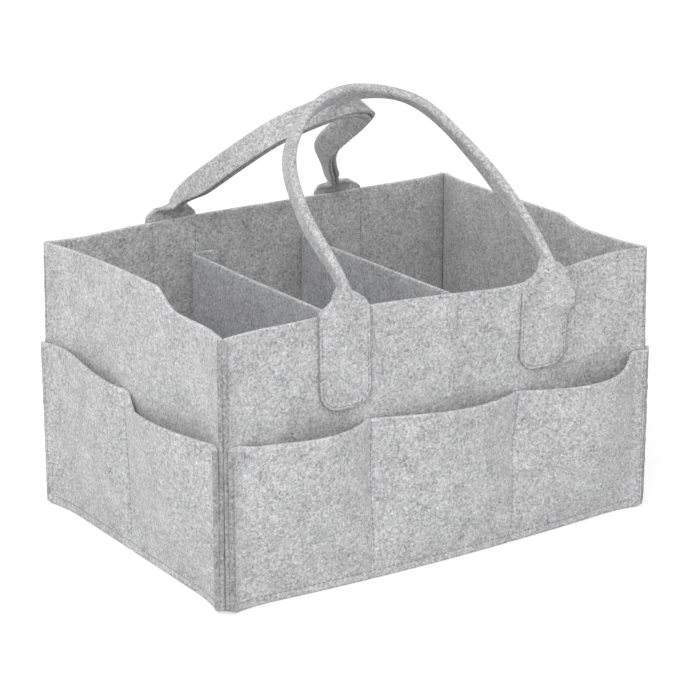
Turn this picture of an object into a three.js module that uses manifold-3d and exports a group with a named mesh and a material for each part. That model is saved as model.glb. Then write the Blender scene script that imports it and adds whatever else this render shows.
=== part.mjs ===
// Diaper caddy: a sewn box of thick grey felt with pockets on all four sides, two carry handles
// and two cross dividers that grip the walls with hook strips.
// Millimetres, +Z up. It stands on z = 0 with its middle over the origin, the front towards -Y.
import * as THREE from 'three';
import { mergeVertices } from 'three/addons/utils/BufferGeometryUtils.js';
import Module from 'manifold-3d';

const wasm = await Module();
wasm.setup();

// Cloth and fits
const felt = 3;
const gap = 0.3;

// Box, between the inner faces of the walls
const insideLength = 332;
const insideDepth = 227;
const frontHeight = 184;
const rearRise = 12.5; // the rear half stands this much higher
const wallStep = { rear: -29, front: -58 }; // y range in which the short walls step down
const wallStepHaste = 0.75; // below 1, the step falls sooner than it levels out
const rimLift = { rise: 7, start: 0.4 }; // the front rim climbs to its right corner, from a share of halfX
const finReach = 12.5; // corner seams: how far the turned-out edges stand off the inner corner
const finTopReach = 8.5; // the walls' own fins narrow to this at the top
const finLift = 2.5; // the fins' tips are cut this much off the ground
const flare = 3.5; // the cloth curves out this much towards a corner seam
const flareLength = 30; // over this length
const flareSteps = 4;
const seamHeight = 9; // the bottom seam: floor edges turned down to the ground
const bow = 8; // the long walls bow out this much at the floor
const bowLevels = [0, 12, 28, 46, 63, 80]; // the bow is full up to the second level, gone at the last
const stepSteps = 8; // short straight pieces in each stepped edge

// Pockets
const frontPocketHeight = 112;
const rearPocketRise = 9;
const pocketStep = { rear: 4, front: -16 }; // y range in which the short sides' pocket edge steps down
const longSeam = 59; // x of the seams between the three pockets of a long side
const shortSeam = 6; // y of the seam between the two pockets of a short side
const seamLand = 3; // flat strip beside a pocket seam
const bulgeSteps = 9;
// Pockets from left to right, as seen from outside: how far each mouth stands open, and where it is
// fullest (1 is its middle, more lies further to the right).
const mouths = { front: [14.8, 14, 19], right: [11, 8.5], rear: [13, 14, 13], left: [7.5, 13.2] };
const fullness = { front: [1.4, 1.2, 1.35], right: [1.2, 1.1], rear: [1.2, 1.1, 1], left: [1.6, 1.2] };
const longSag = { all: 2.5, right: 4, place: 0.49, width: 0.51 }; // place and width as shares of halfX
const shortSag = { middle: 5, width: 0.34 }; // width as a share of halfY
const sagFade = 16; // the mouths don't sag at the corner seams
const mouthLift = { rise: 5.5, start: 0.82 }; // the front mouths climb to the right corner too

// Handles: wide tabs sewn on the long walls, the strip between them folded in half lengthwise.
// The strips are limp, so each arch hangs a little askew. Its shape is a curve from the left foot to
// the right one, through points given as shares of half the spacing and of the rise up the lean.
const frontSpacing = 162; // between the middles of the tabs
const frontHandleRise = 156.5;
const frontTwist = 40; // degrees by which its right leg is turned on itself
const rearSpacing = 144;
const rearHandleRise = 154.5;
const frontShape = [
  [-0.96, 0.12], [-1, 0.45], [-0.9, 0.74], [-0.47, 0.955], [-0.05, 1],
  [0.46, 0.9], [0.83, 0.58], [1.09, 0.2], [1.1, 0.08],
];
const rearShape = [
  [-1, 0.2], [-0.79, 0.58], [-0.52, 0.845], [-0.02, 1], [0.27, 0.91], [0.3, 0.6], [0.76, 0.19],
];
const tabWidth = 40;
const tabRise = 2; // above the wall's top edge
const tabClearance = 8; // between the tabs and the pocket edge below them
const tabFootRadius = 14;
const tabShoulderRadius = 4;
const strapDepth = 15.5; // folded strip, across the arch
const strapThickness = 6.4; // two layers of felt
const strapFootWidth = 36;
const neckLength = 18; // the foot has narrowed to the folded strip here
const foldStart = 2; // it begins to fold here
const foldLength = 28; // and is fully folded here
const footSteps = 9;
const archSteps = 40;
const pivotOffset = felt; // the flex line runs this far outside the middle of the tab
const pivotRise = 1; // and above the tab's top edge
const meetingPlane = -9; // y where the two handles lean against each other

// Floor insert and dividers
const insertThickness = 3;
const insertClearance = 1.5;
const insertRadius = 6;
const dividerTop = 170;
const dividerPlaces = { left: -60, right: 34 };
const flapLength = 24;
const hookThickness = 2;
const hookWidth = 20;
const hookLength = 110;
const hookMargin = 10; // below the divider's top edge

const rearHeight = frontHeight + rearRise;
const rearPocketHeight = frontPocketHeight + rearPocketRise;
const halfX = insideLength / 2;
const halfY = insideDepth / 2;
const clamp01 = (t) => Math.min(1, Math.max(0, t));
const smooth = (t) => clamp01(t) ** 2 * (3 - 2 * clamp01(t));
const lerp = (a, b, t) => a + (b - a) * t;
const hill = (x, middle, width) => Math.exp(-(((x - middle) / width) ** 2));
const spread = (a, b, steps) => Array.from({ length: steps + 1 }, (_, i) => lerp(a, b, i / steps));

// Solids from point rows
// A closed solid from positions and triangles, turned so that its faces look outwards.
function closedGeometry(positions, triangles) {
  let volume = 0;
  const corner = (i) => new THREE.Vector3(...positions[i]);
  for (const [a, b, c] of triangles) volume += corner(a).dot(corner(b).cross(corner(c)));
  const index = triangles.flatMap(([a, b, c]) => (volume > 0 ? [a, b, c] : [a, c, b]));
  const geometry = new THREE.BufferGeometry();
  geometry.setAttribute('position', new THREE.Float32BufferAttribute(positions.flat(), 3));
  geometry.setIndex(index);
  return geometry;
}

// Sideways directions along a path seen from above, mitred so that an offset keeps its distance.
function planNormals(path) {
  const sides = path.slice(1).map(([x, y], i) => {
    const along = new THREE.Vector2(x - path[i][0], y - path[i][1]).normalize();
    return new THREE.Vector2(along.y, -along.x);
  });
  return path.map((_, i) => {
    const before = sides[Math.max(0, i - 1)];
    const after = sides[Math.min(sides.length - 1, i)];
    return before.clone().add(after).divideScalar(1 + before.dot(after));
  });
}

// A standing sheet of cloth: rows of middle points from bottom to top, all rows alike in count.
function sheetSolid(rows, thickness) {
  const columns = rows[0].length;
  const positions = [];
  for (const row of rows) {
    const normals = planNormals(row);
    for (const half of [thickness / 2, -thickness / 2]) {
      row.forEach(([x, y, z], i) => positions.push([x + normals[i].x * half, y + normals[i].y * half, z]));
    }
  }
  const at = (row, face, column) => (row * 2 + face) * columns + column;
  const triangles = [];
  const quad = (a, b, c, d) => triangles.push([a, b, c], [a, c, d]);
  const top = rows.length - 1;
  const end = columns - 1;
  for (let c = 0; c < end; c++) {
    for (let r = 0; r < top; r++) {
      quad(at(r, 0, c), at(r, 0, c + 1), at(r + 1, 0, c + 1), at(r + 1, 0, c));
      quad(at(r, 1, c), at(r + 1, 1, c), at(r + 1, 1, c + 1), at(r, 1, c + 1));
    }
    quad(at(0, 0, c), at(0, 1, c), at(0, 1, c + 1), at(0, 0, c + 1));
    quad(at(top, 0, c), at(top, 0, c + 1), at(top, 1, c + 1), at(top, 1, c));
  }
  for (let r = 0; r < top; r++) {
    quad(at(r, 0, 0), at(r + 1, 0, 0), at(r + 1, 1, 0), at(r, 1, 0));
    quad(at(r, 0, end), at(r, 1, end), at(r + 1, 1, end), at(r + 1, 0, end));
  }
  return closedGeometry(positions, triangles);
}

// A solid swept through rings of points, all rings alike in count, closed by a flat cap at each end.
function sweptSolid(rings) {
  const count = rings[0].length;
  const triangles = [];
  for (let r = 0; r + 1 < rings.length; r++) {
    for (let i = 0; i < count; i++) {
      const next = (i + 1) % count;
      const [a, b, c, d] = [r * count + i, r * count + next, (r + 1) * count + next, (r + 1) * count + i];
      triangles.push([a, b, c], [a, c, d]);
    }
  }
  const last = (rings.length - 1) * count;
  for (let i = 1; i + 1 < count; i++) {
    triangles.push([0, i + 1, i], [last, last + i, last + i + 1]);
  }
  return closedGeometry(rings.flat(), triangles);
}

// Boolean helpers
function toManifold(geometry) {
  const bare = new THREE.BufferGeometry();
  bare.setAttribute('position', geometry.getAttribute('position').clone());
  if (geometry.index) bare.setIndex(geometry.index.clone());
  const merged = mergeVertices(bare, 1e-4);
  return new wasm.Manifold(new wasm.Mesh({
    numProp: 3,
    vertProperties: new Float32Array(merged.getAttribute('position').array),
    triVerts: new Uint32Array(merged.index.array),
  }));
}

function fromManifold(solid) {
  const mesh = solid.getMesh();
  const geometry = new THREE.BufferGeometry();
  geometry.setAttribute('position', new THREE.Float32BufferAttribute(mesh.vertProperties, 3));
  geometry.setIndex([...mesh.triVerts]);
  return geometry;
}

const group = new THREE.Group();

function addPart(name, geometry, colour, roughness = 0.95) {
  const material = new THREE.MeshStandardMaterial({ color: colour, roughness, metalness: 0 });
  material.name = name;
  const mesh = new THREE.Mesh(geometry, material);
  mesh.name = name;
  group.add(mesh);
}

const outerGrey = 0xbebec1;
const innerGrey = 0xa9abaf;
const hookGrey = 0xd6d6d3;

// The four sides
// Each side is drawn from outside: a runs left to right, o outwards from the wall's inner face.
const sides = {
  front: { half: halfX, place: (a, o) => [a, -halfY - o], seams: [-longSeam, longSeam] },
  right: { half: halfY, place: (a, o) => [halfX + o, a], seams: [shortSeam], stepSign: 1 },
  rear: { half: halfX, place: (a, o) => [-a, halfY + o], seams: [-longSeam, longSeam] },
  left: { half: halfY, place: (a, o) => [-halfX - o, -a], seams: [-shortSeam], stepSign: -1 },
};
const isLong = (side) => side.stepSign === undefined;
for (const [name, side] of Object.entries(sides)) {
  Object.assign(side, { mouths: mouths[name], fullness: fullness[name] });
}

// Cloth layers lie one outside the other: layer 0 is the wall, layer 1 the pocket strip.
const layerOffset = (layer) => felt / 2 + layer * (felt + gap);
const finOffset = (layer) => gap / 2 + layerOffset(layer);
const rootReach = (side, layer) => side.half + layerOffset(layer) - finOffset(layer) * Math.SQRT2;

// Top edges: the short sides step down from the rear to the front, and the pocket mouths sag.
const stepDown = (step, y) => clamp01((step.rear - y) / (step.rear - step.front));
const lifted = ({ rise, start }, x) => rise * smooth((x / halfX - start) / (1 - start));
const wallTop = (side, a) => {
  const [x, y] = side.place(a, 0);
  const down = stepDown(wallStep, y) ** wallStepHaste;
  return lerp(rearHeight, frontHeight + lifted(rimLift, x), smooth(down));
};
const pocketTop = (side, a) => {
  const [x, y] = side.place(a, 0);
  const down = stepDown(pocketStep, y);
  const longEdge = longSag.all + longSag.right * hill(a, longSag.place * halfX, longSag.width * halfX);
  const shortEdge = shortSag.middle * hill(a, 0, shortSag.width * halfY);
  const sag = (isLong(side) ? longEdge : shortEdge) * smooth((rootReach(side, 1) - Math.abs(a)) / sagFade);
  return lerp(rearPocketHeight, frontPocketHeight + lifted(mouthLift, x), smooth(down)) - sag;
};

// The long walls bow out between their corner seams, most at the floor.
function bowOut(side, a, z) {
  if (!isLong(side)) return 0;
  const across = clamp01(1 - (a / rootReach(side, 1)) ** 2);
  const fade = 1 - smooth((z - bowLevels[1]) / (bowLevels.at(-1) - bowLevels[1]));
  return bow * across * fade;
}

// Towards a corner the cloth curves out, and past its root it meets the straight line of the fin.
function flareOut(side, a, layer) {
  const share = Math.max(0, 1 + (Math.abs(a) - rootReach(side, layer)) / flareLength);
  return flare * share ** 2;
}

const flareShare = flare / flareLength;
const cornerRun = (flareLength * (1 - 2 * flareShare - Math.sqrt(1 - 4 * flareShare))) / (2 * flareShare);

function flareStations(side, layer) {
  const reach = rootReach(side, layer);
  const right = spread(reach - flareLength, reach + cornerRun, flareSteps);
  return [...right.map((a) => -a), ...right];
}

// One cloth layer of a side: a row of stations, with the end edges turned out into the corner fins.
function sideSheet(side, layer, stations, levels, topAt, outAt) {
  const offset = layerOffset(layer);
  const fin = finOffset(layer);
  const topReach = layer === 0 ? finTopReach : finReach;
  const row = (level, top) => {
    const height = (a) => (top ? topAt(side, a) : level);
    const tip = (sign) => {
      const z = Math.max(finLift, height(sign * side.half));
      const reach = lerp(finReach, topReach, z / rearHeight);
      const a = side.half + (reach - fin) / Math.SQRT2;
      return [...side.place(sign * a, (reach + fin) / Math.SQRT2), z];
    };
    const middle = stations.map((a) => {
      const z = height(a);
      return [...side.place(a, offset + flareOut(side, a, layer) + outAt(a, z)), z];
    });
    return [tip(-1), ...middle, tip(1)];
  };
  return sheetSolid([...levels.map((level) => row(level, false)), row(0, true)], felt);
}

// Stations where a short side's edge steps down.
function stepStations(side, step) {
  return isLong(side) ? [] : spread(step.front, step.rear, stepSteps).map((y) => y * side.stepSign);
}

// Stations of a pocket strip: a flat land beside every seam, and steps across the open part.
function pocketEdges(side, layer) {
  const reach = rootReach(side, layer);
  return [-reach, ...side.seams, reach];
}

function pocketStations(side, layer) {
  const edges = pocketEdges(side, layer);
  const open = edges.slice(1).flatMap((end, i) => spread(edges[i] + seamLand, end - seamLand, bulgeSteps));
  const inner = [...side.seams, ...open, ...stepStations(side, pocketStep)];
  const flat = inner.filter((a) => Math.abs(a) < rootReach(side, layer) - flareLength - seamLand);
  return [...flat, ...flareStations(side, layer)].sort((a, b) => a - b);
}

function pocketBulge(side, a, z) {
  const edges = pocketEdges(side, 1);
  const i = side.seams.filter((seam) => a > seam).length;
  const share = (a - edges[i] - seamLand) / (edges[i + 1] - edges[i] - 2 * seamLand);
  const across = clamp01(share) ** side.fullness[i];
  const up = clamp01(z / pocketTop(side, a));
  return side.mouths[i] * Math.max(0, Math.sin(Math.PI * across)) ** 0.8 * (1 - (1 - up) ** 2);
}

for (const [name, side] of Object.entries(sides)) {
  const shortStations = [...stepStations(side, wallStep), ...flareStations(side, 0)].sort((a, b) => a - b);
  const wallStations = isLong(side) ? pocketStations(side, 0) : shortStations;
  const bowed = (a, z) => bowOut(side, a, z);
  addPart(`${name}_wall`, sideSheet(side, 0, wallStations, bowLevels, wallTop, bowed), outerGrey);

  const mouthLevel = lerp(bowLevels.at(-1), frontPocketHeight, 0.5);
  const bulged = (a, z) => bowOut(side, a, z) + pocketBulge(side, a, z);
  const stations = pocketStations(side, 1);
  const strip = sideSheet(side, 1, stations, [...bowLevels, mouthLevel], pocketTop, bulged);
  addPart(`${name}_pockets`, strip, outerGrey);
}

// Floor
function floorOutline(inset) {
  const reach = halfX - gap - inset;
  const xs = [-reach, ...pocketStations(sides.front, 1), reach].filter((x) => Math.abs(x) <= reach);
  const depth = (x) => halfY - gap - inset + bowOut(sides.front, x, 0);
  const front = xs.map((x) => new THREE.Vector2(x, -depth(x)));
  const rear = xs.map((x) => new THREE.Vector2(-x, depth(x)));
  return new THREE.Shape([...front, ...rear]);
}

function roundedRectangle(width, height, footRadius, topRadius) {
  const shape = new THREE.Shape();
  const [w, h] = [width / 2, height];
  shape.moveTo(-w + footRadius, 0);
  shape.lineTo(w - footRadius, 0);
  shape.absarc(w - footRadius, footRadius, footRadius, -Math.PI / 2, 0);
  shape.lineTo(w, h - topRadius);
  shape.absarc(w - topRadius, h - topRadius, topRadius, 0, Math.PI / 2);
  shape.lineTo(-w + topRadius, h);
  shape.absarc(-w + topRadius, h - topRadius, topRadius, Math.PI / 2, Math.PI);
  shape.lineTo(-w, footRadius);
  shape.absarc(-w + footRadius, footRadius, footRadius, Math.PI, Math.PI * 1.5);
  return shape;
}

function slab(shape, depth) {
  return new THREE.ExtrudeGeometry(shape, { depth, bevelEnabled: false, curveSegments: 6 });
}

// The floor panel is a shallow tray upside down: its edges are turned down into the bottom seam.
const floorBlock = toManifold(slab(floorOutline(0), seamHeight));
const floorHollow = toManifold(slab(floorOutline(felt), seamHeight).translate(0, 0, -felt));
addPart('base_panel', fromManifold(floorBlock.subtract(floorHollow)), innerGrey);

const insertFoot = seamHeight + gap;
const insertWidth = insideLength - 2 * insertClearance;
const insertDepth = insideDepth - 2 * insertClearance;
const insertShape = roundedRectangle(insertWidth, insertDepth, insertRadius, insertRadius);
const insert = slab(insertShape, insertThickness).translate(0, -insertDepth / 2, insertFoot);
addPart('floor_insert', insert, innerGrey);

// Handles
// The strip lies in a plane through its flex line: x along the wall, s up the lean from the flex line.
function strapStations({ spacing, rise, shape }) {
  const shares = [[-1, 0], ...shape, [1, 0]];
  const points = shares.map(([x, s]) => new THREE.Vector3(x * spacing / 2, s * rise, 0));
  const curve = new THREE.CatmullRomCurve3(points, false, 'centripetal');
  const footShare = foldLength / curve.getLength();
  const foot = spread(0, footShare, footSteps);
  const arch = spread(footShare, 1 - footShare, archSteps).slice(1, -1);
  const places = [...foot, ...arch, ...foot.map((share) => 1 - share).reverse()];
  const middle = places.map((share) => [curve.getPointAt(share), curve.getTangentAt(share), share]);
  const below = (side) => [0.45, 0.33].map((drop) => [
    new THREE.Vector3(side * spacing / 2, -drop * felt, 0),
    new THREE.Vector3(0, -side, 0),
    (1 + side) / 2,
  ]);
  return [...below(-1), ...middle, ...below(1).reverse()];
}

// Half sizes of the strip at height s: in the arch plane and across it.
function strapHalf(s) {
  const narrow = (1 - clamp01(s / neckLength)) ** 2;
  const folded = smooth((s - foldStart) / (foldLength - foldStart));
  const across = lerp(felt / 2, strapDepth / 2, folded);
  const rounded = s < 0 ? Math.sqrt((felt / 2) ** 2 - s * s) : across;
  return [lerp(strapThickness / 2, strapFootWidth / 2, narrow), rounded];
}

// How much of a handle's twist there is at a share of the arch: all of it along the right leg.
const twistShare = (share) => smooth((share - 0.6) / 0.14) * smooth((0.98 - share) / 0.06);

function strapSolid(pivotY, pivotZ, lean, handle) {
  const up = new THREE.Vector3(0, Math.sin(lean), Math.cos(lean));
  const across = new THREE.Vector3(0, Math.cos(lean), -Math.sin(lean));
  const corner = 0.45; // exponent that makes the ring a rounded rectangle
  const rings = strapStations(handle).map(([{ x, y: s }, tangent, share]) => {
    // the rings stay level at the wide feet and turn with the curve above them
    const upright = new THREE.Vector3(0, Math.sign(tangent.y), 0);
    const along = upright.lerp(tangent, smooth(s / foldLength)).normalize();
    const [inPlane, outOfPlane] = strapHalf(s);
    const twist = THREE.MathUtils.degToRad(handle.twist) * twistShare(share);
    return spread(0, 2 * Math.PI, 12).slice(0, -1).map((turn) => {
      const flat = inPlane * Math.sign(Math.cos(turn)) * Math.abs(Math.cos(turn)) ** corner;
      const deep = outOfPlane * Math.sign(Math.sin(turn)) * Math.abs(Math.sin(turn)) ** corner;
      const n = flat * Math.cos(twist) - deep * Math.sin(twist);
      const m = flat * Math.sin(twist) + deep * Math.cos(twist);
      const point = new THREE.Vector3(x + along.y * n, pivotY, pivotZ);
      point.addScaledVector(up, s - along.x * n).addScaledVector(across, m);
      return point.toArray();
    });
  });
  return sweptSolid(rings);
}

const tabMiddle = halfY + felt + gap + felt / 2;
const pivotReach = tabMiddle + pivotOffset;
const tabRoom = Math.min(frontHeight - frontPocketHeight, rearHeight - rearPocketHeight);
const tabDrop = tabRoom - tabClearance;

// The lean at which the top of the arch just reaches the meeting plane, a given way from the flex line.
function leanToReach(reach, { rise }) {
  const length = rise + strapThickness / 2;
  const depth = strapDepth / 2;
  return Math.asin((reach - gap / 2) / Math.hypot(length, depth)) - Math.atan2(depth, length);
}

const handles = {
  front: { facing: -1, height: frontHeight, spacing: frontSpacing, rise: frontHandleRise },
  rear: { facing: 1, height: rearHeight, spacing: rearSpacing, rise: rearHandleRise },
};
Object.assign(handles.front, { shape: frontShape, twist: frontTwist });
Object.assign(handles.rear, { shape: rearShape, twist: 0 });
for (const [name, handle] of Object.entries(handles)) {
  const { facing, height, spacing } = handle;
  const tabTop = height + tabRise;
  const lean = -facing * leanToReach(pivotReach - facing * meetingPlane, handle);
  addPart(`${name}_handle`, strapSolid(facing * pivotReach, tabTop + pivotRise, lean, handle), outerGrey);
  for (const [hand, sign] of [['left', -1], ['right', 1]]) {
    const outline = roundedRectangle(tabWidth, tabDrop + tabRise, tabFootRadius, tabShoulderRadius);
    const tab = slab(outline, felt).rotateX(Math.PI / 2);
    tab.translate(sign * spacing / 2, facing * tabMiddle + felt / 2, height - tabDrop);
    addPart(`${name}_${hand}_tab`, tab, outerGrey);
  }
}

// Dividers: a panel across the box, its end flaps folded along the walls and held by hook strips.
const dividerFoot = insertFoot + insertThickness + gap;
const hookOuter = halfY - gap;
const flapMiddle = hookOuter - hookThickness - gap - felt / 2;
const hookMiddle = dividerTop - hookMargin - hookLength / 2;
for (const [name, x] of Object.entries(dividerPlaces)) {
  const plan = [
    [x + flapLength, -flapMiddle],
    [x, -flapMiddle],
    [x, flapMiddle],
    [x + flapLength, flapMiddle],
  ];
  const rows = [dividerFoot, dividerTop].map((z) => plan.map(([px, py]) => [px, py, z]));
  addPart(`${name}_divider`, sheetSolid(rows, felt), innerGrey);
  for (const [end, sign] of [['front', -1], ['rear', 1]]) {
    const strip = new THREE.BoxGeometry(hookWidth, hookThickness, hookLength);
    strip.translate(x + flapLength / 2, sign * (hookOuter - hookThickness / 2), hookMiddle);
    addPart(`${name}_divider_${end}_hooks`, strip, hookGrey, 0.7);
  }
}

export default group;
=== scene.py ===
# %% [markdown]
# # A sewn caddy of grey felt
# The real caddy is an open box of felt about 3 mm thick. Four walls and four pocket strips are sewn
# together in fins that stand out at the corners, two folded strips make the carry handles, and two
# loose dividers cross the inside. The solid model has every piece at its true size and place, so this
# file dresses it: each soft solid is replaced by a finer sheet of felt that sits where the solid sits.
# The caddy's lengths are written in millimetres, as a maker would measure them, and turned into metres
# when a mesh is made. Camera, lamp and floor are in metres.

# %% Load the frame
import math
from types import SimpleNamespace

import bpy
import numpy as np
from mathutils import Matrix, Vector, noise


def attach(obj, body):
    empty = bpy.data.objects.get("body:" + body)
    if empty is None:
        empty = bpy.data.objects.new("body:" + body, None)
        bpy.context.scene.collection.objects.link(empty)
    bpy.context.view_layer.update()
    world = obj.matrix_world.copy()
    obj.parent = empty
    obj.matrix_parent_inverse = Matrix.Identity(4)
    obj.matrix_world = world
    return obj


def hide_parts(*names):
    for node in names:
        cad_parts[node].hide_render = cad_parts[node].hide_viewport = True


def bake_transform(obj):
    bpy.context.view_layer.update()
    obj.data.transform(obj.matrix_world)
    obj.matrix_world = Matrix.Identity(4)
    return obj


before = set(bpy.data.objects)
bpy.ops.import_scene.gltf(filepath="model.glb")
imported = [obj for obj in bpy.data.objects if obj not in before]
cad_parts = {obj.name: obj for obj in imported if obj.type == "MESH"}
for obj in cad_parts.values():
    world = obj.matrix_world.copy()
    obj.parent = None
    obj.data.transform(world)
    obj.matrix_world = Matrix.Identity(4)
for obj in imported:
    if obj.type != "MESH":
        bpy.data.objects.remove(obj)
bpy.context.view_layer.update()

# %% [markdown]
# ## The camera
# The photograph was taken with a long lens from the front left corner, a little above the rim. A
# camera is only a lens, a place and a direction, so these are written as angles round the object and
# a distance. The lens length comes from the picture's width in pixels and the focal length in pixels.

# %% Camera
FRAME_PIXELS = 700
FOCAL_PIXELS = 2400
SENSOR = 36.0
azimuth = math.radians(-33.92)
elevation = math.radians(17.71)
distance = 1.697
aim = Vector((0.0040, 0.0, 0.1141))

backwards = Vector((
    math.sin(azimuth) * math.cos(elevation),
    -math.cos(azimuth) * math.cos(elevation),
    math.sin(elevation),
))
rightwards = Vector((math.cos(azimuth), math.sin(azimuth), 0.0))
upwards = backwards.cross(rightwards)

lens = bpy.data.cameras.new("camera")
lens.sensor_width = SENSOR
lens.lens = SENSOR * FOCAL_PIXELS / FRAME_PIXELS
camera = bpy.data.objects.new("camera", lens)
camera.matrix_world = Matrix((rightwards, upwards, backwards)).transposed().to_4x4()
camera.location = aim + backwards * distance
bpy.context.scene.collection.objects.link(camera)
bpy.context.scene.camera = camera
print("lens", round(lens.lens, 1), "mm, camera at", [round(v, 3) for v in camera.location])

# %% [markdown]
# ## Studio light and floor
# Felt shows its softness best in broad, soft light with one side a little brighter. A pale world gives
# the even light, and one large lamp high on the left gives the direction. The white ground of a
# catalogue picture is made in the floor and world materials, for camera, glossy and transmission rays
# only, so the object itself isn't lit any harder. The floor still darkens where the caddy stands.

# %% Node helpers
scene = bpy.context.scene
scene.view_settings.view_transform = "Standard"


def link(tree, start, end):
    tree.links.new(start, end)


def new_node(tree, kind, plain=(), **settings):
    """A node with plain values on its sockets and settings of its own."""
    node = tree.nodes.new(kind)
    for name, value in dict(plain).items():
        node.inputs[name].default_value = value
    for name, value in settings.items():
        setattr(node, name, value)
    return node


def math_node(tree, operation, first, second=None, clamp=False):
    node = new_node(tree, "ShaderNodeMath", operation=operation, use_clamp=clamp)
    for socket, value in zip(node.inputs, (first, second)):
        if isinstance(value, (int, float)):
            socket.default_value = value
        elif value is not None:
            link(tree, value, socket)
    return node.outputs[0]


def grey(value):
    return (value, value, value, 1.0)


def choose_by_eye(tree, others, eye, output_kind):
    """One shader for camera, glossy and transmission rays, another for the rest."""
    path = tree.nodes.new("ShaderNodeLightPath")
    seen = math_node(tree, "MAXIMUM", path.outputs["Is Camera Ray"], path.outputs["Is Glossy Ray"])
    seen = math_node(tree, "MAXIMUM", seen, path.outputs["Is Transmission Ray"])
    choose = tree.nodes.new("ShaderNodeMixShader")
    output = tree.nodes.new(output_kind)
    link(tree, seen, choose.inputs[0])
    link(tree, others.outputs[0], choose.inputs[1])
    link(tree, eye.outputs[0], choose.inputs[2])
    link(tree, choose.outputs[0], output.inputs["Surface"])


print("view transform:", scene.view_settings.view_transform)

# %% [markdown]
# ## World and lamp
# The world stands in for the white walls of a studio, and the lamp for a large soft box. A disk lamp
# this wide has no hard shadow edge, so the felt's own small shapes do the shading.

# %% World and lamp
WORLD_LIGHT = 0.82
WORLD_TINT = (0.99, 0.99, 1.0, 1.0)
LAMP_POWER = 33.0
LAMP_PLACE = (-1.7, -1.5, 1.9)
LAMP_SIZE = 1.5


def make_world():
    world = bpy.data.worlds.new("studio")
    world.use_nodes = True
    tree = world.node_tree
    tree.nodes.clear()
    lit = new_node(tree, "ShaderNodeBackground", {"Color": WORLD_TINT, "Strength": WORLD_LIGHT})
    white = new_node(tree, "ShaderNodeBackground", {"Color": grey(1.0), "Strength": 1.0})
    choose_by_eye(tree, lit, white, "ShaderNodeOutputWorld")
    scene.world = world


def make_lamp(name, place, size, power):
    data = bpy.data.lights.new(name, "AREA")
    data.shape = "DISK"
    data.size = size
    data.energy = power
    lamp = bpy.data.objects.new(name, data)
    lamp.location = place
    lamp.rotation_mode = "QUATERNION"
    lamp.rotation_quaternion = (aim - Vector(place)).to_track_quat("-Z", "Y")
    scene.collection.objects.link(lamp)


make_world()
make_lamp("key", LAMP_PLACE, LAMP_SIZE, LAMP_POWER)

# %% [markdown]
# ## Floor
# The floor is one large white plane just under the caddy. To the eye it glows a little over a grey
# that takes the shadow, and to every other ray it is plain pale grey, so it throws back natural light.

# %% Floor
FLOOR_GREY = 0.86
FLOOR_SHADED = 0.4
FLOOR_GLOW = 0.68
FLOOR_REACH = 6.0
FLOOR_DROP = 0.0004


def make_floor():
    material = bpy.data.materials.new("white_floor")
    material.use_nodes = True
    tree = material.node_tree
    tree.nodes.clear()
    plain = new_node(tree, "ShaderNodeBsdfDiffuse", {"Color": grey(FLOOR_GREY)})
    shaded = new_node(tree, "ShaderNodeBsdfDiffuse", {"Color": grey(FLOOR_SHADED)})
    glow = new_node(tree, "ShaderNodeEmission", {"Strength": FLOOR_GLOW})
    pale = tree.nodes.new("ShaderNodeAddShader")
    link(tree, shaded.outputs[0], pale.inputs[0])
    link(tree, glow.outputs[0], pale.inputs[1])
    choose_by_eye(tree, plain, pale, "ShaderNodeOutputMaterial")
    mesh = bpy.data.meshes.new("floor")
    corners = [(x * FLOOR_REACH, y * FLOOR_REACH, 0.0) for x, y in ((-1, -1), (1, -1), (1, 1), (-1, 1))]
    mesh.from_pydata(corners, [], [(0, 1, 2, 3)])
    mesh.materials.append(material)
    floor = bpy.data.objects.new("floor", mesh)
    floor.location.z = -FLOOR_DROP
    scene.collection.objects.link(floor)


make_floor()
print("floor", 2 * FLOOR_REACH, "m wide")

# %% [markdown]
# ## The felt finish
# Grey felt is a tangle of pale and dark fibres pressed flat. Close up there are curling hairs, from a
# step away there are specks and soft clouds. A node group builds this once from noise at three sizes,
# so every felt piece can share it with its own two greys. The curls are made by keeping only the
# places where a distorted noise crosses its middle value, which draws thin wandering lines.

# %% Felt grain node group
HAIR_SHARPNESS = 7.0
HAIR_WEIGHT = 0.27
SPECK_SCALE = 2.3
SPECK_WEIGHT = 1.1
CLOUD_SCALE = 55.0
CLOUD_WEIGHT = 0.5


def noise_node(tree, place, scale, detail, distortion):
    plain = {"Detail": detail, "Roughness": 0.6, "Distortion": distortion}
    node = new_node(tree, "ShaderNodeTexNoise", plain)
    link(tree, place, node.inputs["Vector"])
    if isinstance(scale, (int, float)):
        node.inputs["Scale"].default_value = scale
    else:
        link(tree, scale, node.inputs["Scale"])
    return node.outputs["Fac"]


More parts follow.
